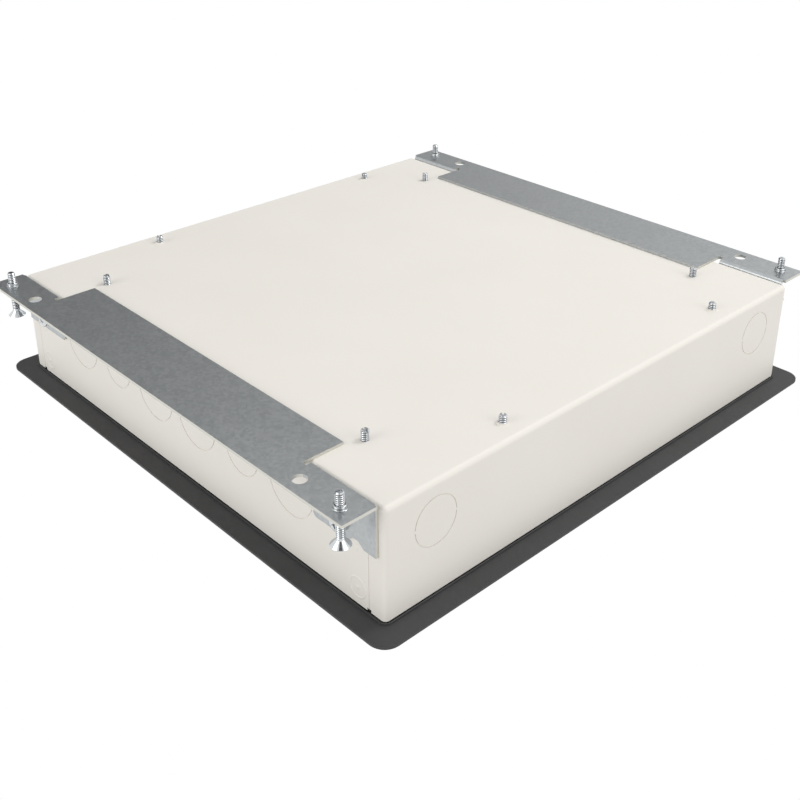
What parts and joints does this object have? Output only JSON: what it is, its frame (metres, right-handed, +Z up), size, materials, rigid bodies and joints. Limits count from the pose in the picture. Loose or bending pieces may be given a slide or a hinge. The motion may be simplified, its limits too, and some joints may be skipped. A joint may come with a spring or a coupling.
{
  "type": "floor socket box",
  "caption": "Shallow square steel floor box on levelling brackets, with trim frame, hinged lid, cable flaps and inclined rows of outlets.",
  "frame": {"origin": "on the floor under the middle of the box, at the tips of the levelling screws", "axes": "+Z up to the lid as installed, +X across the brackets to the data side, -Y to the lid's lifting edge"},
  "size_m": [0.34, 0.323, 0.0686],
  "materials": {
    "box_enamel": "smooth ivory powder coat",
    "zinc_sheet": "zinc-coated sheet, faint spangle",
    "zinc_screw": "bright zinc plate",
    "trim_plastic": "matt dark grey moulding",
    "tread_steel": "zinc-coated plate",
    "module_white": "semi-gloss moulding",
    "rocker_white": "gloss moulding",
    "earth_brass": "plain brass",
    "gasket_foam": "closed-cell foam"
  },
  "bodies": {
    "box": {"box_body": "box_enamel", "levelling_bracket_left": "zinc_sheet", "levelling_bracket_right": "zinc_sheet", "bracket_screws": "zinc_screw", "bracket_washers": "zinc_screw", "carrier_screws": "zinc_screw", "support_screws": "zinc_screw", "power_carrier": "zinc_sheet", "data_carrier": "zinc_sheet", "socket_outlet_1": "module_white", "socket_outlet_2": "module_white", "socket_outlet_3": "module_white", "switch_module": "module_white", "data_outlet_1": "module_white", "data_outlet_2": "module_white", "blank_module_1": "module_white", "blank_module_2": "module_white", "lid_support_front": "zinc_sheet", "lid_support_rear": "zinc_sheet", "earth_stud": "earth_brass", "earth_nuts": "earth_brass", "earth_washers": "earth_brass", "frame_gasket": "gasket_foam", "trim_frame": "trim_plastic", "frame_screws": "zinc_screw", "hinge_pins": "zinc_screw"},
    "lid": {"lid_frame": "trim_plastic", "lid_plate": "tread_steel", "flap_pins": "zinc_screw", "handle_pin": "zinc_screw"},
    "flap_left": {"cable_flap_left": "trim_plastic"},
    "flap_right": {"cable_flap_right": "trim_plastic"},
    "handle": {"lid_handle": "trim_plastic"},
    "rocker": {"switch_rocker": "rocker_white"},
    "level_front_left": {"levelling_screw_front_left": "zinc_screw"},
    "level_front_right": {"levelling_screw_front_right": "zinc_screw"},
    "level_rear_left": {"levelling_screw_rear_left": "zinc_screw"},
    "level_rear_right": {"levelling_screw_rear_right": "zinc_screw"}
  },
  "joints": [
    {"name": "lid_hinge", "type": "hinge", "parent": "box", "child": "lid", "pos_m": [0, 0.1344, 0.0656], "axis": [-1, 0, 0], "range_deg": [0, 100]},
    {"name": "handle_hinge", "type": "hinge", "parent": "lid", "child": "handle", "pos_m": [0, -0.1316, 0.0662], "axis": [1, 0, 0], "range_deg": [0, 90]},
    {"name": "flap_left_hinge", "type": "hinge", "parent": "lid", "child": "flap_left", "pos_m": [-0.078, -0.118, 0.0662], "axis": [-1, 0, 0], "range_deg": [0, 90]},
    {"name": "flap_right_hinge", "type": "hinge", "parent": "lid", "child": "flap_right", "pos_m": [0.078, -0.118, 0.0662], "axis": [-1, 0, 0], "range_deg": [0, 90]},
    {"name": "switch_rock", "type": "hinge", "parent": "box", "child": "rocker", "pos_m": [-0.10242, -0.0675, 0.03415], "axis": [0, 1, 0], "range_deg": [-5, 5]},
    {"name": "level_front_left_travel", "type": "slide", "parent": "box", "child": "level_front_left", "axis": [0, 0, 1], "range_m": [-0.0125, 0.006]},
    {"name": "level_front_right_travel", "type": "slide", "parent": "box", "child": "level_front_right", "axis": [0, 0, 1], "range_m": [-0.0125, 0.006]},
    {"name": "level_rear_left_travel", "type": "slide", "parent": "box", "child": "level_rear_left", "axis": [0, 0, 1], "range_m": [-0.0125, 0.006]},
    {"name": "level_rear_right_travel", "type": "slide", "parent": "box", "child": "level_rear_right", "axis": [0, 0, 1], "range_m": [-0.0125, 0.006]}
  ]
}
